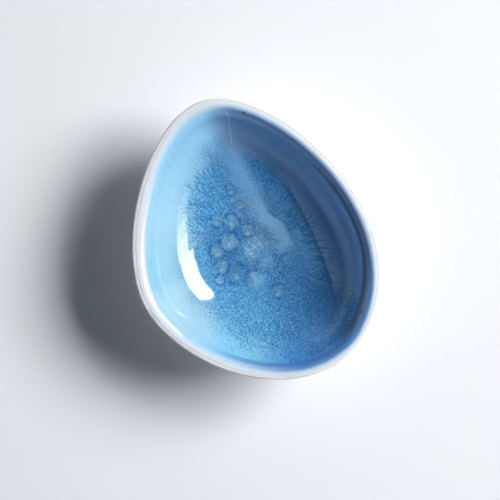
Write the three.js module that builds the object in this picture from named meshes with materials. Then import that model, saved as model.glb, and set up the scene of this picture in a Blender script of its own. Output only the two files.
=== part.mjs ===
// A small egg-shaped dip bowl: a stoneware body on a foot ring, coated all over with white glaze,
// with a thick blue glaze over the white inside.
// Millimetres, +Z up. The origin is on the table, under the middle of the rim's length and width,
// and +X points along the bowl to its narrow end.
import * as THREE from "three";

// Rim, measured on the clay, seen from above. The outline is given by the distance from the bowl's centre
// to its tangent in each direction: the mean radius plus a few waves round the bowl.
const RIM_RADIUS = 47.15;
const RIM_WAVES = [
  { count: 2, swell: 5.14, bearing: 3.2 },
  { count: 3, swell: 2.04, bearing: -16.6 },
  { count: 4, swell: 0.71, bearing: -2.9 },
  { count: 5, swell: 0.23, bearing: 27.6 },
  { count: 6, swell: 0.2, bearing: 24.1 },
];

// Lip, as a section through the clay: a crisp outer edge, a rounded crown, and a wider turn down to the
// inner wall. Bearing 0 faces straight out, 90 is up and 180 faces the hollow.
const LIP_HEIGHT = 33;
const EDGE_ROUND = 0.4;
const CROWN_ROUND = 3.4;
const CROWN_FROM = 82;
const CROWN_TO = 118;
const TURN_ROUND = 7.1;

// Walls, as a section through the clay. Each leans from the level at the axis, and the reaches say how far
// it keeps to its direction at either end.
const INNER_WALL = { lowest: 10.6, lean: 67.4, floorReach: 16.5, lipReach: 12.3 };
const OUTER_WALL = { lowest: 5.6, lean: 75, floorReach: 18, lipReach: 18.5 };

// Foot ring
const FOOT_RADIUS = 21;
const TREAD_HALF = 1.6;
const TREAD_ROUND = 0.5;
const FOOT_HALF = 2.1;
const FOOT_SPREAD = 0.6;
const WAIST_HEIGHT = 4;
const JOINT_HALF = 5.2;

// Glaze, as thickness on the clay
const WHITE_GLAZE = 0.35;
const BLUE_WALL = 0.45;
const BLUE_POOL = 1.3;
const BLUE_EDGE = 0.12;
const POOL_RADIUS = 34;
const GLAZE_EDGE = 0.15;
const GLAZE_LINE = 1.6;

// Facets: all the way round, and along each stretch of the section
const ROUND_STEPS = 52;
const INNER_STEPS = 8;
const TURN_STEPS = 3;
const CROWN_STEPS = 3;
const EDGE_STEPS = 4;
const BLUE_LIP_STEPS = TURN_STEPS + 2;
const WALL_STEPS = 5;
const FILLET_STEPS = 3;
const JOINT_STEPS = 4;
const WELL_STEPS = 3;

const radians = THREE.MathUtils.degToRad;
const point = (x, y) => new THREE.Vector2(x, y);
const backwards = (points) => [...points].reverse();

// Lower rings are smaller copies of the rim. Close under the rim they run parallel to it instead,
// so that the wall is as thick at the ends of the egg as at its sides.
const PARALLEL_FROM = 0.9;
const PARALLEL_SHARPNESS = 12;
function share(radius) {
  const scaled = radius / RIM_RADIUS / PARALLEL_FROM;
  return scaled / (1 + scaled ** PARALLEL_SHARPNESS) ** (1 / PARALLEL_SHARPNESS);
}

// The egg-shaped ring of a given mean radius, as x and y for the direction that its edge faces.
function ringPoint(radius, facing) {
  const waves = share(radius) / share(RIM_RADIUS);
  let reach = radius;
  let turn = 0;
  for (const { count, swell, bearing } of RIM_WAVES) {
    const phase = count * (facing - radians(bearing));
    reach += waves * swell * Math.cos(phase);
    turn -= waves * swell * count * Math.sin(phase);
  }
  return point(
    reach * Math.cos(facing) - turn * Math.sin(facing),
    reach * Math.sin(facing) + turn * Math.cos(facing),
  );
}

// Sweeps a section round the egg. Each of its points is a mean radius and a height, and it runs clockwise
// with the axis on its left: from the axis back to the axis, or round a closed loop.
// Two pieces that share a stretch of section split its faces the same way, so they meet face to face.
function eggSweep(section) {
  const closed = section[0].x > 0;
  const rows = [];
  const positions = [];
  for (const { x: radius, y: height } of section) {
    const row = [];
    for (let i = 0; i < ROUND_STEPS; i++) {
      if (radius > 0 || i === 0) {
        const { x, y } = ringPoint(radius, (2 * Math.PI * i) / ROUND_STEPS);
        positions.push(x, y, height);
      }
      row.push(positions.length / 3 - 1);
    }
    rows.push(row);
  }
  const faces = [];
  const triangle = (a, b, c) => {
    if (a !== b && b !== c && c !== a) faces.push(a, b, c);
  };
  for (let j = 0; j < section.length - (closed ? 0 : 1); j++) {
    const k = (j + 1) % section.length;
    const widening = section[k].x - section[j].x;
    const outwards = widening > 0 || (widening === 0 && section[j].y < section[k].y);
    for (let i = 0; i < ROUND_STEPS; i++) {
      const n = (i + 1) % ROUND_STEPS;
      if (outwards) {
        triangle(rows[j][i], rows[k][i], rows[k][n]);
        triangle(rows[j][i], rows[k][n], rows[j][n]);
      } else {
        triangle(rows[j][i], rows[k][i], rows[j][n]);
        triangle(rows[k][i], rows[k][n], rows[j][n]);
      }
    }
  }
  return new THREE.BufferGeometry()
    .setAttribute("position", new THREE.Float32BufferAttribute(positions, 3))
    .setIndex(faces);
}

// A point of an arc of the section, at a bearing from its centre
function onArc(centre, radius, bearing) {
  const angle = radians(bearing);
  return point(centre.x + radius * Math.cos(angle), centre.y + radius * Math.sin(angle));
}

// The centre of an arc of another radius that carries on smoothly from this one at a bearing
const nextCentre = (centre, radius, next, bearing) => onArc(centre, radius - next, bearing);

const edgeCentre = point(RIM_RADIUS - EDGE_ROUND, LIP_HEIGHT - EDGE_ROUND);
const crownCentre = nextCentre(edgeCentre, EDGE_ROUND, CROWN_ROUND, CROWN_FROM);
const turnCentre = nextCentre(crownCentre, CROWN_ROUND, TURN_ROUND, CROWN_TO);

// The lip from the inner wall to the outer one, without its first point
function lip() {
  const arcs = [
    [turnCentre, TURN_ROUND, 90 + INNER_WALL.lean, CROWN_TO, TURN_STEPS],
    [crownCentre, CROWN_ROUND, CROWN_TO, CROWN_FROM, CROWN_STEPS],
    [edgeCentre, EDGE_ROUND, CROWN_FROM, OUTER_WALL.lean - 90, EDGE_STEPS],
  ];
  const points = [];
  for (const [centre, radius, from, to, steps] of arcs) {
    for (let i = 1; i <= steps; i++) {
      points.push(onArc(centre, radius, THREE.MathUtils.lerp(from, to, i / steps)));
    }
  }
  return points;
}

// A wall from the axis to the lip
function wallCurve({ lowest, lean, floorReach, lipReach }, top) {
  const belowLip = onArc(top, -lipReach, lean);
  return new THREE.CubicBezierCurve(point(0, lowest), point(floorReach, lowest), belowLip, top);
}

const innerWall = wallCurve(INNER_WALL, onArc(turnCentre, TURN_ROUND, 90 + INNER_WALL.lean));
const outerWall = wallCurve(OUTER_WALL, onArc(edgeCentre, EDGE_ROUND, OUTER_WALL.lean - 90));

// How far along the outer wall a radius is reached, as a fraction
function fractionAt(radius) {
  let low = 0;
  let high = 1;
  for (let i = 0; i < 40; i++) {
    const middle = (low + high) / 2;
    if (outerWall.getPoint(middle).x < radius) low = middle;
    else high = middle;
  }
  return low;
}
const outerWallAt = (radius) => outerWall.getPoint(fractionAt(radius));

function outerWallRows() {
  const foot = fractionAt(FOOT_RADIUS + JOINT_HALF);
  const points = [];
  for (let i = 1; i <= WALL_STEPS; i++) {
    points.push(outerWall.getPoint(THREE.MathUtils.lerp(1, foot, i / WALL_STEPS)));
  }
  return points;
}

// The band of the underside that the foot ring is joined to, from inside to outside
function footJoint() {
  const points = [];
  for (let i = 0; i <= JOINT_STEPS; i++) {
    points.push(outerWallAt(FOOT_RADIUS + JOINT_HALF * ((2 * i) / JOINT_STEPS - 1)));
  }
  points[JOINT_STEPS] = outerRows.at(-1);
  return points;
}

function undersideRows() {
  const points = [];
  for (let i = 0; i < WELL_STEPS; i++) {
    points.push(outerWallAt(((FOOT_RADIUS - JOINT_HALF) * i) / WELL_STEPS));
  }
  return points;
}

// One face of the foot ring, from its joint with the underside down to the glaze line.
// side is 1 for the outer face and -1 for the inner one.
function footFace(side, joint) {
  const half = FOOT_HALF + FOOT_SPREAD;
  const waist = point(FOOT_RADIUS + side * half, WAIST_HEIGHT);
  const fillet = new THREE.QuadraticBezierCurve(joint, outerWallAt(waist.x), waist);
  return [...fillet.getPoints(FILLET_STEPS).slice(1), point(FOOT_RADIUS + side * FOOT_HALF, GLAZE_LINE)];
}

// The bare clay of the foot ring: its rounded edges and flat tread, from outside to inside
function tread() {
  const edge = TREAD_HALF + TREAD_ROUND;
  return [
    point(FOOT_RADIUS + edge, TREAD_ROUND),
    point(FOOT_RADIUS + TREAD_HALF, 0),
    point(FOOT_RADIUS - TREAD_HALF, 0),
    point(FOOT_RADIUS - edge, TREAD_ROUND),
  ];
}

// A section moved out by a thickness given for each of its points
function coat(section, thickness) {
  return section.map((p, i) => {
    const before = section[Math.max(i - 1, 0)];
    const after = section[Math.min(i + 1, section.length - 1)];
    const along = p.x === 0 ? point(1, 0) : point(after.x - before.x, after.y - before.y).normalize();
    return point(p.x - along.y * thickness(p, i), p.y + along.x * thickness(p, i));
  });
}

const innerRows = innerWall.getPoints(INNER_STEPS);
const lipRows = lip();
const outerRows = outerWallRows();
const jointRows = footJoint();
const wellRows = undersideRows();
const outerFoot = footFace(1, jointRows.at(-1));
const innerFoot = footFace(-1, jointRows[0]);

const outside = [...lipRows, ...outerRows];
const underside = [...wellRows, ...jointRows.slice(0, -1)];
const clayBody = [...innerRows, ...outside, ...backwards(underside)];
const footRing = [...jointRows, ...outerFoot, ...tread(), ...backwards(innerFoot)];

// The white coat runs over the whole body and stops at the glaze line, short of the tread.
const coatedClay = [...innerRows, ...outside, ...outerFoot];
const whiteSurface = coat(coatedClay, (p, i) => (i < coatedClay.length - 1 ? WHITE_GLAZE : GLAZE_EDGE));
const whiteGlaze = [...whiteSurface, ...backwards(coatedClay)];

// The blue coat lies on the white one: thin on the lip, even on the wall and pooled on the floor.
const underBlue = whiteSurface.slice(0, innerRows.length + BLUE_LIP_STEPS);
const blueSurface = coat(underBlue, ({ x: radius }, i) => {
  const onLip = Math.max(0, i - innerRows.length + 1) / BLUE_LIP_STEPS;
  const pool = Math.max(0, 1 - (radius / POOL_RADIUS) ** 2) ** 2;
  return THREE.MathUtils.lerp(BLUE_WALL, BLUE_EDGE, onLip) + (BLUE_POOL - BLUE_WALL) * pool;
});
const blueGlaze = [...blueSurface, ...backwards(underBlue)];

// The underside inside the foot ring has its own patch of white glaze.
const coatedWell = [...wellRows, jointRows[0], ...innerFoot];
const wellSurface = coat(coatedWell, (p, i) => -(i < coatedWell.length - 1 ? WHITE_GLAZE : GLAZE_EDGE));
const wellGlaze = [...coatedWell, ...backwards(wellSurface)];

const clay = new THREE.MeshStandardMaterial({ color: "#cdb89d", roughness: 0.85, metalness: 0 });
const white = new THREE.MeshStandardMaterial({ color: "#eceae6", roughness: 0.12, metalness: 0 });
const blue = new THREE.MeshStandardMaterial({ color: "#4d97cf", roughness: 0.06, metalness: 0 });

const bowl = new THREE.Group();
for (const [name, section, material] of [
  ["clay_body", clayBody, clay],
  ["foot_ring", footRing, clay],
  ["white_glaze", whiteGlaze, white],
  ["blue_glaze", blueGlaze, blue],
  ["foot_well_glaze", wellGlaze, white],
]) {
  const mesh = new THREE.Mesh(eggSweep(section), material);
  mesh.name = name;
  bowl.add(mesh);
}

// The outline is drawn from the bowl's centre, and the origin is in the middle of its length and width.
const extent = new THREE.Box3().setFromObject(bowl);
bowl.position.set(-(extent.min.x + extent.max.x) / 2, -(extent.min.y + extent.max.y) / 2, 0);

export default bowl;
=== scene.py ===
# %% [markdown]
# # A glazed dip bowl
# This lesson builds a small egg-shaped stoneware bowl. It has a white glaze all over, a thick blue
# glaze inside, and a ring of bare clay to stand on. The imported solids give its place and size. Here
# each of them gets a smooth surface and a finish, and then the bowl is lit on a white table.

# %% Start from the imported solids
import math

import bpy
import numpy as np
from mathutils import Matrix


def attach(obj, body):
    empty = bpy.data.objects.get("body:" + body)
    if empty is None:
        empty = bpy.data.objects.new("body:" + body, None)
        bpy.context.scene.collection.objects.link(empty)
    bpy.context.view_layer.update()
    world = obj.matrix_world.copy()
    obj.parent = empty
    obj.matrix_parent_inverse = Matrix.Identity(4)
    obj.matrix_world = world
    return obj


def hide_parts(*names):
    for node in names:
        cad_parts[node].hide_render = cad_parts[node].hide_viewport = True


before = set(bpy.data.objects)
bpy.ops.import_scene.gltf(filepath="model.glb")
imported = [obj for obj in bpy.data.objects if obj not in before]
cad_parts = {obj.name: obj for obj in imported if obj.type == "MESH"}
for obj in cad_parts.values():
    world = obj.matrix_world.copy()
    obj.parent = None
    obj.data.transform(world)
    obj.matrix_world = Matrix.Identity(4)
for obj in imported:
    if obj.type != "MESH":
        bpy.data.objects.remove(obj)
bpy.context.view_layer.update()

# %% [markdown]
# ## The egg
# Seen from above, the bowl has the outline of an egg, fuller at one end and on one side. Such an
# outline could be traced as points, but each smaller level of the bowl would then need points of its
# own. Here it is given by the distance from the centre to its tangent in each direction. With a little
# taken off that distance, the same numbers draw a smaller egg that runs parallel to the first. So each
# level, or ring, is named by one number: the mean of its distance, in millimetres.

# %% The egg's outline, in millimetres
RIM_RADIUS = 47.15
# Waves that shape the rim: how many go round, the size in millimetres, and a crest's bearing in degrees.
RIM_WAVES = ((2, 5.14, 3.2), (3, 2.04, -16.6), (4, 0.71, -2.9), (5, 0.23, 27.6), (6, 0.2, 24.1))
FULL_EGG_FROM = 0.9
LEVELLING = 12


def share(radius):
    """How strongly a ring shows the egg: in proportion to its radius, and levelling off under the rim."""
    scaled = radius / RIM_RADIUS / FULL_EGG_FROM
    return scaled / (1 + scaled ** LEVELLING) ** (1 / LEVELLING)


print("share of the egg on rings of 10, 30 and 45 mm:", *(round(share(r), 2) for r in (10, 30, 45)))


# %% Points on a ring
def egg(radius, facing):
    """The point of a ring whose edge faces a direction. The reach to the tangent is the ring's radius plus
    its waves, and the point lies at reach times the outward direction plus the reach's slope times the
    direction along the edge."""
    swell = share(radius) / share(RIM_RADIUS)
    reach = radius
    slope = 0 * facing
    for count, size, bearing in RIM_WAVES:
        phase = count * (facing - math.radians(bearing))
        reach = reach + swell * size * np.cos(phase)
        slope = slope - swell * size * count * np.sin(phase)
    x = reach * np.cos(facing) - slope * np.sin(facing)
    y = reach * np.sin(facing) + slope * np.cos(facing)
    return x, y


# %% The middle of the rim
COLUMNS = 240
WHITE_GLAZE = 0.35
around = np.linspace(0, 2 * math.pi, COLUMNS, endpoint=False)
rim_x, rim_y = egg(RIM_RADIUS + WHITE_GLAZE, around)
MIDDLE = np.array([rim_x.max() + rim_x.min(), rim_y.max() + rim_y.min()]) / 2
print("rim", round(np.ptp(rim_x), 1), "by", round(np.ptp(rim_y), 1), "mm")

# %% [markdown]
# ## Lines for the section
# A potter would describe the wall by cutting the bowl in half. The cut shows lines of radius and
# height, and each piece of this bowl is such a line swept round the egg. The lines could be drawn by
# hand, point by point, but arcs and curves with a few named sizes are smoother and easier to change.


# %% Arcs and curves
def arc(centre, radius, start, stop, steps):
    """Points at a radius from a centre, turning evenly from one bearing to another, in degrees."""
    angle = np.radians(np.linspace(start, stop, steps + 1))[:, None]
    return np.asarray(centre) + radius * np.hstack([np.cos(angle), np.sin(angle)])


def point_at(centre, distance, bearing):
    """The point at a distance from a centre on a bearing. A negative distance goes the other way."""
    return arc(centre, distance, bearing, bearing, 0)[0]


def curve(steps, *handles):
    """A smooth curve from the first handle to the last one, drawn towards those between. A point is the
    sum of the handles, each times its share: the number of ways to pick i steps out of the order, times t
    to the power i, times (1 - t) to the power of the rest."""
    t = np.linspace(0, 1, steps + 1)[:, None]
    order = len(handles) - 1
    shares = [math.comb(order, i) * (1 - t) ** (order - i) * t ** i for i in range(order + 1)]
    return sum(part * np.asarray(handle, float) for part, handle in zip(shares, handles))


print("a quarter circle of 10 mm passes", point_at((0, 0), 10, 45).round(2))


# %% Cutting, joining and measuring lines
def on_line(line, radii):
    """The points of a wall at given radii."""
    return np.column_stack([radii, np.interp(radii, line[:, 0], line[:, 1])])


def join(*lines):
    """Lines one after another, where each starts at the end of the one before."""
    return np.vstack([lines[0]] + [line[1:] for line in lines[1:]])


def length_along(line):
    """The distance along a line to each of its points."""
    return np.append(0, np.cumsum(np.linalg.norm(np.diff(line, axis=0), axis=1)))


print("a quarter circle of 10 mm is", round(length_along(arc((0, 0), 10, 0, 90, 90))[-1], 2), "mm long")

# %% [markdown]
# ## The lip
# The lip is what a hand feels first, so on the real bowl it is wide and soft. One half circle would
# look like a bent tube. Here a broad arc turns in from the inner wall, a tighter one makes the crown,
# and a small one rounds the outer edge. Each starts in the direction in which the one before it ends,
# so light runs over all three without a break.

# %% The lip's three arcs, in millimetres and degrees
LIP_HEIGHT = 33.0
EDGE_ROUND = 0.4
CROWN_ROUND = 3.4
TURN_ROUND = 7.1
CROWN_FROM = 82.0
CROWN_TO = 118.0
INNER_LEAN = 67.4
OUTER_LEAN = 75.0
TURN_STEPS = 16
CROWN_STEPS = 18
EDGE_STEPS = 18
edge_centre = np.array([RIM_RADIUS - EDGE_ROUND, LIP_HEIGHT - EDGE_ROUND])
crown_centre = point_at(edge_centre, EDGE_ROUND - CROWN_ROUND, CROWN_FROM)
turn_centre = point_at(crown_centre, CROWN_ROUND - TURN_ROUND, CROWN_TO)
turn = arc(turn_centre, TURN_ROUND, 90 + INNER_LEAN, CROWN_TO, TURN_STEPS)
crown = arc(crown_centre, CROWN_ROUND, CROWN_TO, CROWN_FROM, CROWN_STEPS)
edge = arc(edge_centre, EDGE_ROUND, CROWN_FROM, OUTER_LEAN - 90, EDGE_STEPS)
lip = join(turn, crown, edge)
print("the lip is", round(length_along(lip)[-1], 1), "mm along its line")

# %% [markdown]
# ## The walls
# Inside, the wall sweeps from a level floor up to the lip. Outside, it rises from a narrow base. The
# clay between is about four millimetres thick. A wall could be made of several arcs, but each meeting
# of two arcs shows in a glossy glaze, so each wall is one curve with two handles between its ends.

# %% The inner wall and the outer wall
FLOOR_HEIGHT = 10.6
UNDERSIDE_HEIGHT = 5.6
FLOOR_HANDLE = 16.5
INNER_HANDLE = 12.3
BASE_HANDLE = 18.0
OUTER_HANDLE = 18.5
INNER_STEPS = 90
OUTER_STEPS = 400
inner_top = turn[0]
outer_top = edge[-1]
under_lip = point_at(inner_top, -INNER_HANDLE, INNER_LEAN)
under_edge = point_at(outer_top, -OUTER_HANDLE, OUTER_LEAN)
floor = ((0, FLOOR_HEIGHT), (FLOOR_HANDLE, FLOOR_HEIGHT))
base = ((0, UNDERSIDE_HEIGHT), (BASE_HANDLE, UNDERSIDE_HEIGHT))
inner_wall = curve(INNER_STEPS, *floor, under_lip, inner_top)
whole_outer = curve(OUTER_STEPS, *base, under_edge, outer_top)
print("the inner wall rises", round(np.ptp(inner_wall[:, 1]), 1), "mm")

# %% [markdown]
# ## The foot ring
# An egg-shaped bowl can't be turned on a wheel, so its foot is a coil of clay, pressed to the underside
# and smoothed with a wet finger. That gives it a hollow fillet at the top and a straight flank below.
# The fillet is a curve drawn towards the corner where the wall and the flank would meet.

# %% Where the outer wall meets the foot
FOOT_RADIUS = 21.0
JOINT_HALF = 5.2
joint_in = FOOT_RADIUS - JOINT_HALF
joint_out = FOOT_RADIUS + JOINT_HALF
outer_wall = on_line(whole_outer, np.linspace(outer_top[0], joint_out, 40))
foot_joint = on_line(whole_outer, np.linspace(joint_in, joint_out, 12))
well = on_line(whole_outer, np.linspace(0, joint_in, 16))
print("the foot is joined from ring", joint_in, "to ring", joint_out)

# %% The faces of the foot
WAIST_HALF = 2.7
WAIST_HEIGHT = 4.0
FOOT_HALF = 2.1
GLAZE_LINE = 1.6
FILLET_STEPS = 14
FLANK_POINTS = 9


def foot_face(side, corner):
    """A face of the foot ring, from its joint down to the glaze line, as a fillet and a straight flank.
    The side is 1 outside and -1 inside."""
    waist = (FOOT_RADIUS + side * WAIST_HALF, WAIST_HEIGHT)
    above = on_line(whole_outer, np.array([waist[0]]))[0]
    flank = np.linspace(waist, (FOOT_RADIUS + side * FOOT_HALF, GLAZE_LINE), FLANK_POINTS)
    return join(curve(FILLET_STEPS, corner, above, waist), flank)


outer_foot = foot_face(1, outer_wall[-1])
inner_foot = foot_face(-1, well[-1])
print("the foot's face is", round(length_along(outer_foot)[-1], 1), "mm along its line")

# %% The tread that stands on the table
TREAD_HALF = 1.6
TREAD_ROUND = 0.5
tread_edge = TREAD_HALF + TREAD_ROUND
tread = np.array([
    (FOOT_RADIUS + tread_edge, TREAD_ROUND),
    (FOOT_RADIUS + TREAD_HALF, 0),
    (FOOT_RADIUS - TREAD_HALF, 0),
    (FOOT_RADIUS - tread_edge, TREAD_ROUND),
])
print("the tread is", 2 * TREAD_HALF, "mm wide")

# %% [markdown]
# ## Closed skins from the section
# Blender's Screw modifier could turn a section round a circle, but not round an egg. So each skin is a
# grid of points worked out at once: one row for each point of its section and one column for each
# direction. A row on the axis is a single point. Some numbers go with every point for the finishes: its
# direction and ring, and others such as how far it lies from the edge of a glaze.


# %% The faces of a grid
def grid_faces(index, closed):
    """Each face joins a point to its neighbours in the next row and the next column. A row with one point
    gives triangles. A closed section also joins its last row to its first."""
    rows = np.arange(len(index) if closed else len(index) - 1)
    here = index[rows]
    below = np.roll(index, -1, axis=0)[rows]
    here_next = np.roll(here, -1, axis=1)
    below_next = np.roll(below, -1, axis=1)
    corners = np.dstack([here, below, below_next, here_next]).reshape(-1, 4)
    tip_here = corners[:, 0] == corners[:, 3]
    tip_below = corners[:, 1] == corners[:, 2]
    squares = corners[~tip_here & ~tip_below]
    tips = np.vstack([corners[tip_here][:, :3], corners[tip_below][:, [0, 1, 3]]])
    return squares.tolist() + tips.tolist()


def add_mark(mesh, name, values):
    """Gives each point of a mesh a number, or a vector of three, that a finish can read by name."""
    kind, part = ("FLOAT_VECTOR", "vector") if values.ndim == 2 else ("FLOAT", "value")
    layer = mesh.attributes.new(name, kind, "POINT")
    layer.data.foreach_set(part, values.astype(np.float32).ravel())


print("a closed grid of 3 by 4 points has", len(grid_faces(np.arange(12).reshape(3, 4), True)), "faces")


# %% Sweep
def sweep(name, section, replaces, slot, **marks):
    """A closed piece: row by row of the section, egg(radius, direction) at that height. marks are numbers
    for each row that the finish reads as attributes."""
    radius = section[:, 0]
    height = section[:, 1]
    on_axis = radius < 1e-6
    x, y = egg(radius[:, None], around[None, :])
    points = np.dstack([x - MIDDLE[0], y - MIDDLE[1], np.broadcast_to(height[:, None], x.shape)]) / 1000
    kept = np.ones(x.shape, bool)
    kept[on_axis, 1:] = False
    index = (np.cumsum(kept) - 1).reshape(x.shape)
    index[on_axis] = index[on_axis][:, :1]
    mesh = bpy.data.meshes.new(name)
    mesh.from_pydata(points[kept], [], grid_faces(index, closed=not on_axis[0]))
    mesh.polygons.foreach_set("use_smooth", np.ones(len(mesh.polygons), bool))
    flow = [np.broadcast_to(part, x.shape) for part in (np.cos(around), np.sin(around), radius[:, None])]
    add_mark(mesh, "flow", np.dstack(flow)[kept])
    for mark, values in marks.items():
        add_mark(mesh, mark, np.broadcast_to(values[:, None], x.shape)[kept])
    mesh.validate()
    piece = bpy.data.objects.new(name, mesh)
    bpy.context.scene.collection.objects.link(piece)
    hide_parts(replaces)
    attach(piece, "root")
    print(name, len(mesh.vertices), "points", [round(1000 * d, 1) for d in piece.dimensions], "mm")
    return piece


# %% [markdown]
# ## The clay pieces
# The bowl's body is a shell of stoneware, and its foot a ring of the same clay. The glazes hide all of
# the body and most of the foot, so the body takes only some of its section's points. The foot keeps
# them all, because its tread is bare.

# %% The body and the foot
underside = join(well, foot_joint)
body_line = join(inner_wall[::4], lip[::2], outer_wall[::2])
body_section = np.vstack([body_line, underside[-2::-1]])
clay_body = sweep("bowl_clay", body_section, "clay_body", "clay")
foot_section = np.vstack([foot_joint, outer_foot[1:], tread, inner_foot[:0:-1]])
foot_ring = sweep("foot_clay", foot_section, "foot_ring", "clay")

# %% [markdown]
# ## The coat of white glaze
# The white glaze covers the inside, the lip and the outside, and stops just above the tread, because
# glaze there would stick to the kiln's shelf. It could be a colour on the clay, but a real coat has a
# thickness and a soft end. So its outer line is the clay's line, moved out by the thickness of the
# glaze at each point.


# %% A coat on a line
def coat(line, thickness):
    """The line moved along its own outward direction by a thickness."""
    direction = np.gradient(line, axis=0)
    direction[line[:, 0] == 0] = [1, 0]
    direction /= np.linalg.norm(direction, axis=1)[:, None]
    return line + np.column_stack([-direction[:, 1], direction[:, 0]]) * np.reshape(thickness, (-1, 1))


WHITE_EDGE = 0.15
THINS_OVER = 2.2


def white_thickness(from_end):
    """The white glaze's thickness at a distance from its end, over which it thins."""
    return np.interp(from_end, (0, THINS_OVER), (WHITE_EDGE, WHITE_GLAZE))


print("white glaze 1 mm above its end:", round(float(white_thickness(1.0)), 2), "mm")

# %% The white coat
glazed_line = join(inner_wall, lip, outer_wall, outer_foot)
above_line = length_along(glazed_line[::-1])[::-1]
white_line = coat(glazed_line, white_thickness(above_line))
lip_top = len(inner_wall) + len(turn) + len(crown) - 3
past_lip = length_along(white_line) - length_along(white_line)[lip_top]
white_glaze = sweep(
    "glaze_white", np.vstack([white_line, glazed_line[::-1]]), "white_glaze", "white_glaze",
    past_lip=np.append(past_lip, past_lip[::-1]),
    above_line=np.append(above_line, above_line[::-1]),
)

# %% [markdown]
# ## The glaze in the foot's well
# The underside has a patch of the same white glaze inside the foot ring. It is a piece of its own,
# because the bare tread parts it from the rest. It lies far from the lip and isn't toasted, so its
# marks are plain.

# %% The patch of glaze
FAR_PAST_LIP = 50.0
FAR_ABOVE_LINE = 20.0
well_line = join(well, inner_foot)
from_tread = length_along(well_line[::-1])[::-1]
well_skin = coat(well_line, -white_thickness(from_tread))
well_section = np.vstack([well_line, well_skin[::-1]])
well_glaze = sweep(
    "glaze_foot_well", well_section, "foot_well_glaze", "white_glaze",
    past_lip=np.full(len(well_section), FAR_PAST_LIP),
    above_line=np.full(len(well_section), FAR_ABOVE_LINE),
)

# %% [markdown]
# ## The coat of blue glaze
# The blue glaze was poured inside only. It clings to the wall in an even coat, thins to nothing on the
# lip and gathers on the floor, where the pool is more than a millimetre deep. Its thickness is a sum of
# these three: an even coat, a soft roll at the edge, and a pool that is deepest in the middle.

# %% The blue coat
BLUE_WALL = 0.45
BLUE_POOL = 1.3
BLUE_EDGE = 0.03
POOL_RADIUS = 34.0
ROLL_WIDTH = 2.8
ROLL_FULLNESS = 0.8
CROWN_STEPS_COVERED = 12
blue_end = len(inner_wall) + len(turn) - 2 + CROWN_STEPS_COVERED
under_blue = white_line[:blue_end + 1]
from_edge = length_along(under_blue[::-1])[::-1]
pool_share = np.clip(1 - (under_blue[:, 0] / POOL_RADIUS) ** 2, 0, 1) ** 2
roll = np.clip(from_edge / ROLL_WIDTH, 0, 1) ** ROLL_FULLNESS
blue_thickness = BLUE_EDGE + (BLUE_WALL - BLUE_EDGE) * roll + (BLUE_POOL - BLUE_WALL) * pool_share
blue_line = coat(under_blue, blue_thickness)
blue_glaze = sweep(
    "glaze_blue", np.vstack([blue_line, under_blue[::-1]]), "blue_glaze", "blue_glaze",
    from_edge=np.append(from_edge, from_edge[::-1]),
)
print("blue glaze on the floor:", round(float(blue_thickness[0]), 2), "mm")

# %% [markdown]
# ## Writing a finish as sums
# A finish is a graph of small nodes. They could be placed one by one, but that hides what they work
# out. The first class below lets a number in the graph be added, multiplied and so on with Python's own
# signs, so that a finish reads as a formula. Colours are blended, never added as numbers.


# %% Numbers in a graph
class Amount:
    """A socket that holds a number, and the maths on it."""

    def __init__(self, graph, socket):
        self.graph = graph
        self.socket = socket

    def maths(self, operation, *values):
        """One Math node on these values."""
        return self.graph.node("ShaderNodeMath", {"operation": operation}, dict(enumerate(values)))

    def __add__(self, other):
        return self.maths("ADD", self, other)

    def __sub__(self, other):
        return self.maths("SUBTRACT", self, other)

    def __rsub__(self, other):
        return self.maths("SUBTRACT", other, self)

    def __mul__(self, other):
        return self.maths("MULTIPLY", self, other)

    def __truediv__(self, other):
        return self.maths("DIVIDE", self, other)

    __radd__ = __add__
    __rmul__ = __mul__

    def step(self, low, high):
        """A soft step from 0 at low to 1 at high."""
        return self.graph.node(
            "ShaderNodeMapRange", {"interpolation_type": "SMOOTHSTEP"},
            {"Value": self, "From Min": low, "From Max": high, "To Min": 0, "To Max": 1},
        )

    def band(self, low, high, soft):
        """1 between low and high, falling softly to 0 outside."""
        return self.step(low - soft, low + soft) * (1 - self.step(high - soft, high + soft))


# %% Nodes in a graph
class Graph:
    """A tree of nodes. Every node comes from the one method below."""

    def __init__(self, tree):
        self.tree = tree

    def node(self, kind, settings, inputs, output=0):
        """Adds a node: its settings first, then a value or a link for each named or numbered socket."""
        made = self.tree.nodes.new(kind)
        for key, value in settings.items():
            if key == "stops":
                self.set_stops(made.color_ramp, value)
            else:
                setattr(made, key, value)
        for key, value in inputs.items():
            self.feed(made.inputs[key], value)
        return Amount(self, made.outputs[output])

    def set_stops(self, ramp, stops):
        """The colours of a ramp, as (position, colour) pairs."""
        while len(ramp.elements) < len(stops):
            ramp.elements.new(0.5)
        for element, (position, colour) in zip(ramp.elements, stops):
            element.position = position
            element.color = (*colour, 1)

    def feed(self, socket, value):
        """Links a value to a socket, or sets it."""
        if isinstance(value, Amount):
            self.tree.links.new(value.socket, socket)
        elif isinstance(value, tuple) and len(value) == 3 and socket.type == "RGBA":
            socket.default_value = (*value, 1)
        else:
            socket.default_value = value

    def blend(self, amount, first, second):
        """A colour between two others."""
        settings = {"data_type": "RGBA", "blend_type": "MIX", "clamp_factor": True}
        return self.node("ShaderNodeMix", settings, {0: amount, 6: first, 7: second}, 2)

    def ramp(self, amount, stops):
        """A colour that runs through several, by an amount from 0 to 1."""
        return self.node("ShaderNodeValToRGB", {"stops": stops}, {"Fac": amount})

    def part_of(self, vector, axis):
        """One part of a vector: its X, Y or Z."""
        return self.node("ShaderNodeSeparateXYZ", {}, {"Vector": vector}, axis)

    def vector_maths(self, operation, first, second, output="Vector"):
        """One Vector Math node on two vectors."""
        return self.node("ShaderNodeVectorMath", {"operation": operation}, {0: first, 1: second}, output)


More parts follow.
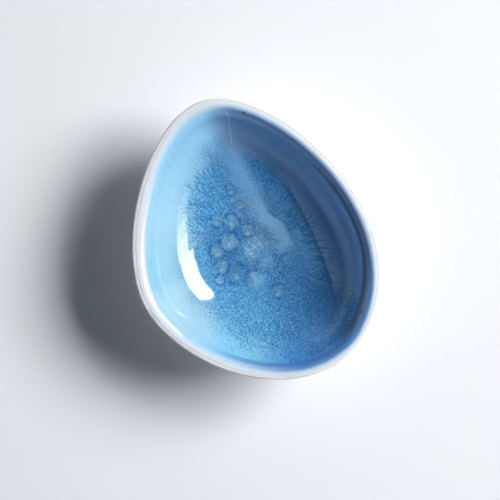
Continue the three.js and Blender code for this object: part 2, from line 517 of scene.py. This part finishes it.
# %% A finish for a piece
class Finish(Graph):
    """A material under construction."""

    def __init__(self, name):
        self.material = bpy.data.materials.new(name)
        self.material.use_nodes = True
        super().__init__(self.material.node_tree)
        self.shader = self.tree.nodes["Principled BSDF"]

    def place(self):
        """Where a point is on the object, in metres."""
        return self.node("ShaderNodeTexCoord", {}, {}, "Object")

    def attribute(self, name, output="Fac"):
        """A number or a vector that goes with the mesh's points."""
        return self.node("ShaderNodeAttribute", {"attribute_name": name}, {}, output)

    def noise(self, vector, size, detail=2, rough=0.5, curl=0):
        """Cloudy noise from 0 to 1. Its clouds have about this size in the vector's unit. More detail and
        roughness break them up, and curl bends them."""
        inputs = {"Vector": vector, "Scale": 1 / size, "Detail": detail, "Roughness": rough}
        inputs["Distortion"] = curl
        return self.node("ShaderNodeTexNoise", {}, inputs, "Fac")

    def colour(self, value):
        """What feeds the base colour."""
        self.feed(self.shader.inputs["Base Color"], value)

    def shine(self, roughness, **sockets):
        """Sets the shader's own sockets that are the same all over."""
        self.feed(self.shader.inputs["Roughness"], roughness)
        for name, value in sockets.items():
            self.feed(self.shader.inputs[name], value)

    def bump(self, height, strength, distance):
        """Fine relief, as a height that bends the way the surface faces."""
        inputs = {"Height": height, "Strength": strength, "Distance": distance}
        self.feed(self.shader.inputs["Normal"], self.node("ShaderNodeBump", {}, inputs))

    def paint(self, *pieces):
        """Puts the finish on pieces."""
        for piece in pieces:
            piece.data.materials.clear()
            piece.data.materials.append(self.material)
        print(self.material.name, len(self.tree.nodes), "nodes on", *(piece.name for piece in pieces))


# %% [markdown]
# ## The white glaze's finish
# The white glaze is glossy. It is a little cooler inside the lip, where blue glaze has melted into it.
# A broken tan line runs along the lip's outer edge, and just above the tread the fire has toasted it.
# It also has a few grey specks from the clay.

# %% White glaze
GLASS_IOR = 1.5
white = Finish("white_glaze")
white_place = white.place()
past = white.attribute("past_lip")
height = white.attribute("above_line")
drift = white.noise(white_place, 0.009, 3)
tone = white.blend(drift.step(0.35, 0.7), (0.85, 0.85, 0.86), (0.89, 0.885, 0.89))
cool = 1 - past.step(-0.7, 0.5)
tone = white.blend(cool, tone, (0.80, 0.83, 0.89))
gaps = white.noise(white_place, 0.006, 2).step(0.3, 0.6)
tan_edge_line = past.band(0.85, 1.45, 0.2) * gaps
tone = white.blend(tan_edge_line * 0.65, tone, (0.42, 0.30, 0.22))
toast = 1 - height.step(0.1, 1.3)
tone = white.blend(toast * 0.5, tone, (0.60, 0.47, 0.34))
specks = white.noise(white_place, 0.0012, 1).step(0.77, 0.83)
tone = white.blend(specks * 0.3, tone, (0.35, 0.29, 0.24))
white.colour(tone)
white.shine(0.09, IOR=GLASS_IOR)
white.bump(white.noise(white_place, 0.005, 1), 0.25, 0.0002)
white.paint(white_glaze, well_glaze)

# %% [markdown]
# ## Bare clay
# Where no glaze covers it, fired stoneware is a matt buff with dark sandy grains that stand out a
# little. One noise gives the grains their colour and their relief alike, so that each dark grain is
# also a bump.

# %% Clay
clay = Finish("bare_clay")
clay_place = clay.place()
sand = clay.noise(clay_place, 0.0009, 4, 0.65)
buff = clay.noise(clay_place, 0.008, 2).step(0.3, 0.7)
earth = clay.blend(buff, (0.50, 0.37, 0.25), (0.60, 0.47, 0.34))
earth = clay.blend(sand.step(0.62, 0.72) * 0.6, earth, (0.25, 0.16, 0.10))
clay.colour(earth)
clay.shine(0.8, IOR=1.45)
clay.bump(sand, 0.6, 0.0003)
clay.paint(clay_body, foot_ring)

# %% [markdown]
# ## The blue glaze: finding the place
# The blue glaze looks different from place to place, because it ran down the wall while it was molten
# and gathered on the floor. It could be painted as an image, but a recipe stays sharp at any size. The
# recipe asks a few things of each place: its ring, the way it lies from the middle, and its distance
# from the blue's edge. The sides are named as in the photograph's view, from straight above.

# %% Ring, side and distance from the edge, in millimetres
blue = Finish("blue_glaze")
place = blue.place()
flat = blue.vector_maths("MULTIPLY", place, (1000, 1000, 0))
along = blue.part_of(flat, "X")
aside = blue.part_of(flat, "Y")
flow = blue.attribute("flow", "Vector")
ring = blue.part_of(flow, "Z")
inward = blue.attribute("from_edge")


def towards(bearing):
    """How far the place faces a bearing, from -1 to 1."""
    angle = math.radians(bearing)
    return blue.vector_maths("DOT_PRODUCT", flow, (math.cos(angle), math.sin(angle), 0), "Value")


print("the blue glaze ends", round(float(from_edge[0]), 1), "mm from the middle of the floor")

# %% [markdown]
# ## Clouds, grains and threads
# Held close, the pool shows fine dark threads, like hairs in cloudy water. They are bubbles and
# crystals drawn out as the glaze ran. Grain from plain noise would lie in no direction. So the threads
# come from noise in the flow's own coordinates, bearing and ring, with the rings stretched. They then
# run down the wall as the glaze did. In the middle, where all bearings meet, plain grain takes over.

# %% Noises of the blue glaze
FIBRE_STRETCH = (62, 62, 0.24)
THREAD_STRETCH = (125, 125, 1.5)
cloud = blue.noise(place, 0.014, 3)
wander = blue.noise(place, 0.010, 3)
patch = blue.noise(place, 0.0045, 2)
haze = blue.noise(place, 0.00075, 3, 0.65, 0.5)
grain = blue.noise(place, 0.00045, 2, 0.6, 0.7)
fibre = blue.noise(blue.vector_maths("MULTIPLY", flow, FIBRE_STRETCH), 1, 2, 0.6)
combed = blue.noise(blue.vector_maths("MULTIPLY", flow, THREAD_STRETCH), 1, 2, 0.6, 0.6)
outer = ring.step(9, 18)
streaks = 1 - (grain * (1 - outer) + combed * outer).step(0.39, 0.52)
for name, (_, wide, tall) in (("fibres", FIBRE_STRETCH), ("threads", THREAD_STRETCH)):
    print(name, "on ring 30 are about", round(30 / wide, 2), "by", round(1 / tall, 2), "mm")

# %% [markdown]
# ## The smooth wall
# On the wall the blue is thin, and the white below shines through it as a pale cyan. Each side gets its
# own tint, which is full where a place faces that side and fades away around it. The tints are partly
# the glaze's own colour and partly painted light and shade: the top and the upper left are painted
# brighter, and the right-hand side a greyer blue.

# %% Tints of the wall, partly painted light and shade
# For each side: its bearing, how far a place must face it for the first and for the full tint, the tint.
WALL_TINTS_AND_PAINTED_LIGHT = {
    "upper left": (35, 0.80, 0.98, (0.37, 0.61, 0.73)),
    "top left": (10, 0.60, 0.95, (0.28, 0.56, 0.76)),
    "top": (-20, 0.60, 0.95, (0.33, 0.68, 0.96)),
    "upper right": (-55, 0.60, 0.95, (0.27, 0.46, 0.80)),
    "right": (-110, 0.60, 0.92, (0.34, 0.51, 0.86)),
    "bottom": (138, 0.70, 0.96, (0.27, 0.62, 0.83)),
    "lower left": (108, 0.90, 1.00, (0.36, 0.58, 0.71)),
    "lower right": (-178, 0.80, 0.98, (0.10, 0.37, 0.82)),
}
wall = blue.blend(cloud.step(0.35, 0.65), (0.25, 0.49, 0.62), (0.29, 0.53, 0.66))
# Painted light and shade, partly: the top and upper left brighter, the right-hand side greyer.
for bearing, first, full, tint in WALL_TINTS_AND_PAINTED_LIGHT.values():
    wall = blue.blend(towards(bearing).step(first, full), wall, tint)
wall = blue.blend((1 - fibre.step(0.40, 0.60)) * 0.10, wall, (0.10, 0.30, 0.52))
print("tints on the wall:", ", ".join(WALL_TINTS_AND_PAINTED_LIGHT))

# %% [markdown]
# ## How far the pool reaches
# The pool is the deep blue on the floor. Its border could be one ring, but real glaze climbs higher on
# some sides and wavers on its way. So the ring is first moved outwards or inwards on each side, and
# then turned into a depth, which is 0 where the pool starts and 1 where it is full.

# %% The pool's own ring
POOL_RING = 31.8
# For each side: its bearing, how far a place must face it, and how many millimetres the pool gains there.
POOL_REACH = {
    "top left": (10, 0.60, 0.97, 4.0),
    "bottom": (158, 0.70, 0.97, 1.8),
    "lower left": (112, 0.85, 1.00, -3.0),
    "left": (78, 0.85, 1.00, -3.4),
    "upper left": (46, 0.86, 1.00, -3.6),
    "lower right": (-158, 0.82, 1.00, 8.0),
}
reach = ring - 4.4 * towards(-165) + (wander - 0.5) * 7
for bearing, first, full, further in POOL_REACH.values():
    reach = reach - further * towards(bearing).step(first, full)
shaded = towards(-105).step(-0.3, 0.6)
border_width = 14 - 9 * shaded
sink = 0.5 - (reach - POOL_RING) / border_width
print("the pool's border lies about ring", POOL_RING, "and is 5 to 14 mm wide")

# %% [markdown]
# ## The curved border
# On the right-hand side the pool ends in a crisp curve, as a tide line does, and the wall beyond is
# smooth. The curve is a parabola. Past its upper end the line is softer, as on the real bowl.

# %% The curve and what lies outside it
CURVE_FROM = 23.7
CURVE_MIDDLE = -6.0
CURVE_BEND = 0.0039
from_middle = along - CURVE_MIDDLE
inside = aside + CURVE_FROM - from_middle * from_middle * CURVE_BEND
crisp = 1 - 0.8 * along.step(3, 16)
outside = along.band(-30, 19, 7) * (1 - (inside * crisp).step(-0.5, 0.5))
sink = sink - outside * 0.9
depth = (sink + (fibre - 0.5) * 0.5).step(0.0, 1.0) * (1 - outside)
print("the curve passes", CURVE_FROM, "mm to the right of the middle")

# %% [markdown]
# ## The pool
# The pool's blue is deepest on the floor and turns to a clear blue up the near and the far side. The
# far side lies in shade, so its brighter blue is partly painted light. Light flecks float in the pool,
# where bubbles of the molten glaze have burst. The flecks are blended over the blue first, then the
# dark threads are drawn on top, since they lie nearest the surface.

# %% The blue of the pool
far_side_painted_light = towards(-80).step(-0.1, 0.8) * ring.step(12, 24)
near_side = towards(95).step(-0.1, 0.7) * ring.step(8, 26)
low_side = towards(-158).step(0.6, 0.97) * ring.step(12, 24)
low_rim = towards(-158).step(0.82, 1.00) * ring.step(28, 37)
deep = blue.blend(patch.step(0.36, 0.60), (0.016, 0.100, 0.31), (0.052, 0.225, 0.50))
deep = blue.blend(near_side, deep, (0.075, 0.34, 0.64))
# Painted light, partly: the shaded far side is painted a brighter blue.
deep = blue.blend(far_side_painted_light * 0.9, deep, (0.105, 0.44, 1.0))
deep = blue.blend(low_side, deep, (0.040, 0.180, 0.48))
deep = blue.blend(low_rim, deep, (0.120, 0.36, 0.80))
pale = blue.blend(0.42 + 0.20 * near_side, deep, (0.30, 0.68, 0.94))
mottled = blue.blend(haze.step(0.40, 0.60) * 0.85, deep, pale)
mottled = blue.blend(grain.step(0.54, 0.66) * 0.40, mottled, pale)
body = blue.blend(depth, wall, mottled)
print("wall and pool:", len(blue.tree.nodes), "nodes so far")

# %% Threads and hairs
spread = (sink + 0.25 + 0.8 * towards(-160).step(0.6, 0.95)).step(0.0, 1.0)
threads = streaks * spread * (1 - 0.7 * outside) * (0.74 + 0.14 * near_side)
body = blue.blend(threads, body, (0.009, 0.080, 0.25))
comb = (sink - (fibre - 0.5) * 2.2).step(0.35, 0.85)
hairs = comb * (1 - fibre.step(0.38, 0.54)) * (1 - ring.step(37, 42)) * ring.step(12, 22)
hairs = hairs * (1 - towards(120).step(0.3, 0.8) * 0.7)
body = blue.blend(hairs * (0.70 - 0.3 * shaded), body, (0.02, 0.17, 0.38))
print("with threads and hairs:", len(blue.tree.nodes), "nodes so far")

# %% [markdown]
# ## Hairs on the border
# Along the crisp curve, dark and light hairs stand side by side like a comb, pointing to the middle.
# The dark ones are short and the light ones reach further in. Both come from the same fibre noise, cut
# at different heights, so they never cross.

# %% Dark and light hairs
line = inside.step(-0.2, 0.6) * along.band(-27, 15, 5)
light_hairs = inside.step(0.5, 3.0) * (1 - inside.step(6.0, 11.0))
light_hairs = light_hairs * fibre.step(0.44, 0.58) * along.band(-23, 16, 6)
body = blue.blend(light_hairs * 0.45, body, (0.26, 0.50, 0.84))
dark_hairs = line * (1 - inside.step(2.0, 6.0)) * (1 - fibre.step(0.36, 0.52))
body = blue.blend(dark_hairs * 0.60, body, (0.05, 0.14, 0.24))
tide_line = line * (1 - inside.step(0.5, 2.5))
body = blue.blend(tide_line * 0.35, body, (0.05, 0.12, 0.20))
print("with the border:", len(blue.tree.nodes), "nodes so far")

# %% [markdown]
# ## The milky run
# A milky band runs from the top of the picture to the middle of the floor. It is glaze that ran late
# and stayed cloudy. Its right-hand edge is sharp near the floor and soft near the top, and its
# left-hand edge fades into the pool. So the band is the distance past a wandering line, with a step on
# each side.

# %% The run
RUN_ASIDE = 12.2
RUN_BEND = 3.4
uneven_line = (wander - 0.5) * 1.5 + (grain - 0.5) * 0.8 + (haze - 0.5) * 1.4
past_edge = aside + RUN_ASIDE + RUN_BEND * (1 - along.step(-1, 8)) + uneven_line
sharp = 1 - 0.75 * along.step(2, 16)
run = (past_edge * sharp + 0.35 * (1 - sharp)).step(-0.2, 0.9)
run = run * (1 - past_edge.step(1.5, 8.5)) * along.band(-8.0, 34.0, 2.5)
run = run * (0.72 + haze.step(0.35, 0.6) * 0.28)
body = blue.blend(run * (0.62 + 0.28 * sharp), body, (0.25, 0.55, 0.86))
print("the sharp edge lies", RUN_ASIDE, "to", RUN_ASIDE + RUN_BEND, "mm to the right of the middle")

# %% [markdown]
# ## Milky clouds
# Near the run's end float a few milky clouds. Each is a disc with a soft and uneven border. The helper
# below gives the distance to the nearest of several discs, and it serves for the crystals and marks
# too.


# %% Clouds
def nearest(middles):
    """The distance to the nearest of some discs, each given by its middle and radius, in radii of it."""
    found = 9.0
    for (x, y), radius in middles:
        away = blue.vector_maths("DISTANCE", flat, (x, y, 0), "Value") / radius
        found = away.maths("MINIMUM", away, found)
    return found


CLOUDS = (((-3.0, -1.2), 5.0), ((-8.5, -3.0), 3.2), ((-14.5, 2.5), 3.0))
uneven = (patch - 0.5) * 2.6 + (haze - 0.5) * 1.6
milk = 1 - (nearest(CLOUDS) + uneven).step(0.1, 1.5)
milk = milk * (1 - streaks * 0.8) * (0.55 + haze.step(0.40, 0.60) * 0.45)
body = blue.blend(milk * 0.70, body, (0.34, 0.64, 0.84))
print(len(CLOUDS), "milky clouds")

# %% [markdown]
# ## Crystals
# As a deep pool of glaze cools, beige crystals grow in it, a few millimetres across, with a dark line
# where the glaze gave up its colour to them. They are scattered left of the middle. A regular pattern
# would look printed, so each has its own place and radius, and one noise crumbles all their outlines.

# %% The crystals' places and tints
# For each crystal: its middle and its radius in millimetres, and its tint.
CRYSTALS = (
    ((12.2, 6.9), 1.9, "beige"), ((9.7, 2.1), 2.5, "pale"), ((3.3, 5.9), 2.9, "pale"),
    ((4.3, -2.1), 2.0, "beige"), ((2.3, 11.4), 2.4, "beige"), ((-3.9, 12.3), 2.3, "beige"),
    ((-8.4, 8.6), 3.0, "dark"), ((20.4, -2.6), 1.7, "dark"), ((-20.8, -2.9), 2.1, "beige"),
    ((-13.8, 5.6), 1.2, "dark"), ((-8.1, 15.1), 1.5, "pale"), ((14.1, -3.4), 1.4, "beige"),
)
TINTS = {"beige": (0.21, 0.36, 0.40), "pale": (0.25, 0.50, 0.66), "dark": (0.09, 0.24, 0.33)}
GATHERED_AT = ((0.0, 7.0), 15.0)
gathered = (1 - nearest((GATHERED_AT,)).step(0.5, 1.1)) * patch.step(0.38, 0.56)
body = blue.blend(gathered * 0.35, body, (0.012, 0.090, 0.29))
print(len(CRYSTALS), "crystals, the largest", 2 * max(radius for _, radius, _ in CRYSTALS), "mm across")

# %% Fill, outlines and painted highlights of the crystals
crumble = (blue.noise(place, 0.0016, 2, 0.7) - 0.5) * 1.4
broken = blue.noise(place, 0.0022, 1).step(0.42, 0.58)
milkiness = 0.20 + haze.step(0.35, 0.62) * 0.28
for kind, tint in TINTS.items():
    own = [(middle, radius) for middle, radius, name in CRYSTALS if name == kind]
    corners = [((x - 0.5 * radius, y + 0.2 * radius), 0.5 * radius) for (x, y), radius in own]
    away = nearest(own) + crumble
    body = blue.blend((1 - away.step(0.5, 1.3)) * milkiness, body, tint)
    body = blue.blend(away.band(0.35, 0.60, 0.15) * broken * 0.50, body, (0.05, 0.16, 0.25))
    body = blue.blend(away.band(1.10, 1.40, 0.15) * broken * 0.70, body, (0.01, 0.09, 0.26))
    # Painted highlight: a pale spot on the same side of every crystal, where the light catches it.
    lit = 1 - (nearest(corners) + crumble).step(0.1, 1.1)
    body = blue.blend(lit * 0.30, body, (0.46, 0.62, 0.66))
print("with crystals:", len(blue.tree.nodes), "nodes so far")

# %% [markdown]
# ## The edge of the blue
# Towards the lip the blue thins to a film, and the white shows through more and more. The film's
# colours are a ramp over four millimetres from the edge. One ramp would do for a round bowl of even
# glaze. Here the shaded sides get a darker film that ends in royal blue, and the lit sides a paler one
# that ends in cyan, so the darker film and its shift inwards are partly painted shade. The far left
# ends in lavender, so three ramps are blended.

# %% Where the film is shifted inwards on the shaded sides, partly as painted shade
FILM_WIDTH = 4
lit_side = towards(62).step(-0.30, 0.40)
# Painted shade, partly: on the shaded sides the film's darker colours start nearer the edge.
shade_side_shift = 0.8 * (1 - towards(-78).step(0.2, 1.0)) - 0.08
shade_side_shift = (shade_side_shift + towards(-135).step(0.86, 1.0) * 0.6) * (1 - lit_side)
ragged = inward + (blue.noise(place, 0.003, 2) - 0.5) * 0.3
shifted_in = ragged + shade_side_shift
royal = shifted_in.band(2.9, 5.4, 0.9) * towards(177).step(0.55, 0.95)
body = blue.blend(royal * 0.8, body, (0.045, 0.17, 0.50))
# Painted shade: a dark line just inside the lip on the shaded right side, where the wall turns down
# steeply.
painted_shade_line = inward.band(3.5, 5.8, 0.9) * towards(-112).step(0.60, 0.86)
body = blue.blend(painted_shade_line * 0.85, body, (0.05, 0.085, 0.16))
print("the film of blue is", FILM_WIDTH, "mm wide")

# %% The films
# The shaded sides' film is a darker copy of the lit one: partly painted shade.
shade_film = blue.ramp(shifted_in / FILM_WIDTH, (
    (0.00, (0.86, 0.90, 0.94)), (0.19, (0.75, 0.85, 0.95)), (0.38, (0.47, 0.63, 0.88)),
    (0.56, (0.13, 0.30, 0.59)), (0.80, (0.10, 0.23, 0.50)),
))
shade_edge = blue.blend(shifted_in.step(2.4, 4.2), shade_film, body)
lit_film = blue.ramp(ragged / FILM_WIDTH, (
    (0.00, (0.85, 0.88, 0.92)), (0.19, (0.75, 0.82, 0.91)), (0.38, (0.59, 0.73, 0.88)),
    (0.58, (0.46, 0.66, 0.84)), (0.90, (0.36, 0.60, 0.76)),
))
lit_edge = blue.blend(ragged.step(2.2, 3.8), lit_film, body)
body = blue.blend(lit_side, shade_edge, lit_edge)
lavender = blue.ramp(ragged / FILM_WIDTH, (
    (0.00, (0.81, 0.84, 0.89)), (0.38, (0.68, 0.73, 0.81)), (0.60, (0.60, 0.65, 0.75)),
    (0.90, (0.53, 0.61, 0.73)),
))
far_left = towards(72).step(0.80, 0.97)
lavender_film = (1 - (ragged - 2.1 * far_left).step(1.4, 1.8)) * far_left
body = blue.blend(lavender_film, body, lavender)
print("with its edge:", len(blue.tree.nodes), "nodes so far")

# %% [markdown]
# ## Small marks of the kiln
# A fine pale craze line starts at the top of the wall, a faint dash lies at the lower left, and a
# pinhole sits at the upper right, where a bubble broke through. Such marks tell the eye that the glaze
# is real. Each is a shape in the finish, because none of them is deep enough to feel.


# %% A craze line, a dash and a pinhole
def stroke(start, stop, half):
    """1 on a thin wavy line between two points, of about this half width."""
    length = math.dist(start, stop)
    heading = ((stop[0] - start[0]) / length, (stop[1] - start[1]) / length)
    distances = []
    for axis in (heading, (-heading[1], heading[0])):
        at_start = axis[0] * start[0] + axis[1] * start[1]
        distances.append(blue.vector_maths("DOT_PRODUCT", flat, (*axis, 0), "Value") - at_start)
    travelled, across = distances
    across = across + (wander - 0.5) * 2
    thickness = 1 - across.maths("ABSOLUTE", across).step(half * 0.5, half * 1.5)
    return travelled.band(0, length, 0.8) * thickness


craze = stroke((46.1, -13.0), (35.0, -10.2), 0.16)
body = blue.blend(craze * 0.5, body, (0.80, 0.86, 0.90))
dash = stroke((-11.2, 34.6), (-15.9, 30.9), 0.5)
body = blue.blend(dash * 0.2, body, (0.85, 0.90, 0.92))
PINHOLE = ((42.8, -18.5), 0.5)
pinhole = 1 - nearest((PINHOLE,)).step(0.6, 1.0)
body = blue.blend(pinhole * 0.8, body, (0.03, 0.04, 0.06))
blue.colour(body)
blue.shine(0.06, IOR=GLASS_IOR)
blue.bump(blue.noise(place, 0.006, 1), 0.2, 0.0002)
blue.paint(blue_glaze)

# %% [markdown]
# ## The table
# The bowl stands on a plain white table. A real table ends somewhere, and its end would cut through the
# low views. So the table is wide, and far from the bowl it turns into an even pale tone for the camera
# and for reflections, while near the bowl it keeps the shadow.

# %% Table
TABLE_HALF = 3
FADE_FROM = 0.18
FADE_TO = 0.45
table_corners = [(-TABLE_HALF, -TABLE_HALF, 0), (TABLE_HALF, -TABLE_HALF, 0),
                 (TABLE_HALF, TABLE_HALF, 0), (-TABLE_HALF, TABLE_HALF, 0)]
table_mesh = bpy.data.meshes.new("table")
table_mesh.from_pydata(table_corners, [], [(0, 1, 2, 3)])
table = bpy.data.objects.new("table", table_mesh)
bpy.context.scene.collection.objects.link(table)
print("the table is", 2 * TABLE_HALF, "m wide")

# %% The table's finish
top = Finish("table_top")
top.colour((0.895, 0.905, 0.94))
top.shine(0.6)
far = top.vector_maths("LENGTH", top.place(), (0, 0, 0), "Value").step(FADE_FROM, FADE_TO)
seen, mirrored, refracted = (
    top.node("ShaderNodeLightPath", {}, {}, ray)
    for ray in ("Is Camera Ray", "Is Glossy Ray", "Is Transmission Ray")
)
glow = top.node("ShaderNodeEmission", {}, {"Color": (0.90, 0.92, 0.96), "Strength": 1})
painted = Amount(top, top.shader.outputs[0])
glowing = far * (seen + mirrored + refracted)
surface = top.node("ShaderNodeMixShader", {}, {0: glowing, 1: painted, 2: glow})
top.feed(top.tree.nodes["Material Output"].inputs["Surface"], surface)
top.paint(table)

# %% [markdown]
# ## The room
# The room is dim, so that the softboxes alone make the reflections. A pale band lies round the horizon,
# as light walls would. An even grey world would be simpler, but it would wash out the shadow.

# %% Room
BAND = (0.72, 0.75, 0.80)
CEILING = (0.010, 0.014, 0.025)
world = bpy.data.worlds.new("room")
bpy.context.scene.world = world
world.use_nodes = True
room = Graph(world.node_tree)
upwards = room.part_of(room.node("ShaderNodeTexCoord", {}, {}, "Generated"), "Z")
walls = room.blend(upwards.step(0.10, 0.30), BAND, CEILING)
room.feed(room.tree.nodes["Background"].inputs["Color"], walls)
print("room of", len(room.tree.nodes), "nodes")

# %% [markdown]
# ## The camera
# The photograph was taken from straight above, with the bowl's long way turned up and a little to the
# left. A long lens from far off would give nearly the same picture. This distance was chosen because it
# shows as much of the rim's outside as the photograph does.

# %% Camera
ROLL = -115.0
CAMERA_HEIGHT = 0.530
LENS = 100
SENSOR = 36
scene = bpy.context.scene
camera = bpy.data.objects.new("camera", bpy.data.cameras.new("camera"))
camera.data.lens = LENS
camera.data.sensor_width = SENSOR
camera.location = (-0.00268, 0.00030, CAMERA_HEIGHT)
camera.rotation_euler = (0, 0, math.radians(ROLL))
scene.collection.objects.link(camera)
scene.camera = camera
print("the picture is", round(1000 * CAMERA_HEIGHT * SENSOR / LENS), "mm wide on the table")

# %% [markdown]
# ## The lamps
# A softbox on the right throws the soft shadow and makes the white bar on the glaze. One lamp could do
# both, but its reflection and its light would then be tied together. So some lamps only light the
# surfaces and others only shine in them, and each kind can be matched to the photograph by itself.


# %% Where a lamp stands
def stand(azimuth, elevation, tilt=0):
    """The plane of a lamp that faces the bowl, as three directions: across, upright and away from the
    bowl. azimuth counts from the right of the picture, anticlockwise."""
    turned = math.radians(ROLL + azimuth)
    up = math.radians(elevation)
    lean = math.radians(tilt)
    away = np.array([math.cos(up) * math.cos(turned), math.cos(up) * math.sin(turned), math.sin(up)])
    level = np.array([-math.sin(turned), math.cos(turned), 0])
    rising = np.cross(away, level)
    across = level * math.cos(lean) + rising * math.sin(lean)
    upright = rising * math.cos(lean) - level * math.sin(lean)
    return across, upright, away


key = stand(20.0, 39.5)
softbox = stand(27.8, 42.8, 2.0)
panel = stand(-83.0, 50.0, 13.5)
print("the key lamp stands towards", key[2].round(2))

# %% A lamp
AIM = np.array([0, 0, 0.018])


def lamp(name, plane, distance, place, size, radiance, shines, shape="RECTANGLE", colour=(1, 1, 1)):
    """A lamp in a plane at a distance in metres. Its place and size are shares of the distance. It either
    lights the surfaces or only shines in them."""
    across, upright, away = plane
    data = bpy.data.lights.new(name, "AREA")
    data.shape = shape
    data.size = size[0] * distance
    data.size_y = size[1] * distance
    data.energy = radiance * math.pi * data.size * data.size_y
    data.color = colour
    made = bpy.data.objects.new(name, data)
    middle = distance * (away + place[0] * across + place[1] * upright) + AIM
    turn = np.column_stack([across, upright, away, middle])
    made.matrix_world = Matrix(np.vstack([turn, [0, 0, 0, 1]]).tolist())
    made.visible_camera = False
    made.visible_diffuse = not shines
    made.visible_glossy = shines
    scene.collection.objects.link(made)
    print(name, "shines" if shines else "lights", round(data.energy, 1), "W")


# %% The lamp that lights the bowl
KEY_DISTANCE = 2.0
lamp("key", key, KEY_DISTANCE, (0, 0), (0.59, 0.41), 19.0, False)

# %% The softbox that shines in the glaze
# For each part of the softbox: its place and size as shares of the distance, its radiance and its shape.
SOFTBOX_DISTANCE = 1.3
SOFTBOX_PARTS = {
    "softbox_main": ((-0.035, 0.0), (0.548, 0.306), 20.0, "RECTANGLE"),
    "softbox_round": ((0.239, 0.0), (0.14, 0.306), 20.0, "ELLIPSE"),
    "softbox_side": ((-0.382, -0.055), (0.144, 0.26), 12.0, "RECTANGLE"),
    "softbox_far": ((-0.527, -0.055), (0.146, 0.26), 6.5, "RECTANGLE"),
    "softbox_end": ((-0.705, -0.075), (0.21, 0.26), 2.2, "RECTANGLE"),
}
for name, (share_place, size, radiance, shape) in SOFTBOX_PARTS.items():
    lamp(name, softbox, SOFTBOX_DISTANCE, share_place, size, radiance, True, shape)

# %% [markdown]
# ## The window
# A pale window below the picture fills the shadows a little and shines in the lip. Its three lamps
# stand in one plane, where nothing tells which of them is in front. So the order in which they are made
# is part of the light. With the fill made before the softbox, the shadow came out clearly brighter.

# %% Window
PANEL_DISTANCE = 1.2
WINDOW = (0.72, 0.95, 1.0)
lamp("panel", panel, PANEL_DISTANCE, (-0.01, 0.35), (0.62, 1.28), 0.9, True, colour=WINDOW)
lamp("fill", panel, PANEL_DISTANCE, (-0.01, 0.35), (0.62, 1.28), 0.7, False, colour=WINDOW)
lamp("panel_middle", panel, PANEL_DISTANCE, (-0.01, 0.38), (0.48, 1.1), 1.3, True, colour=WINDOW)
scene.view_settings.view_transform = "Standard"
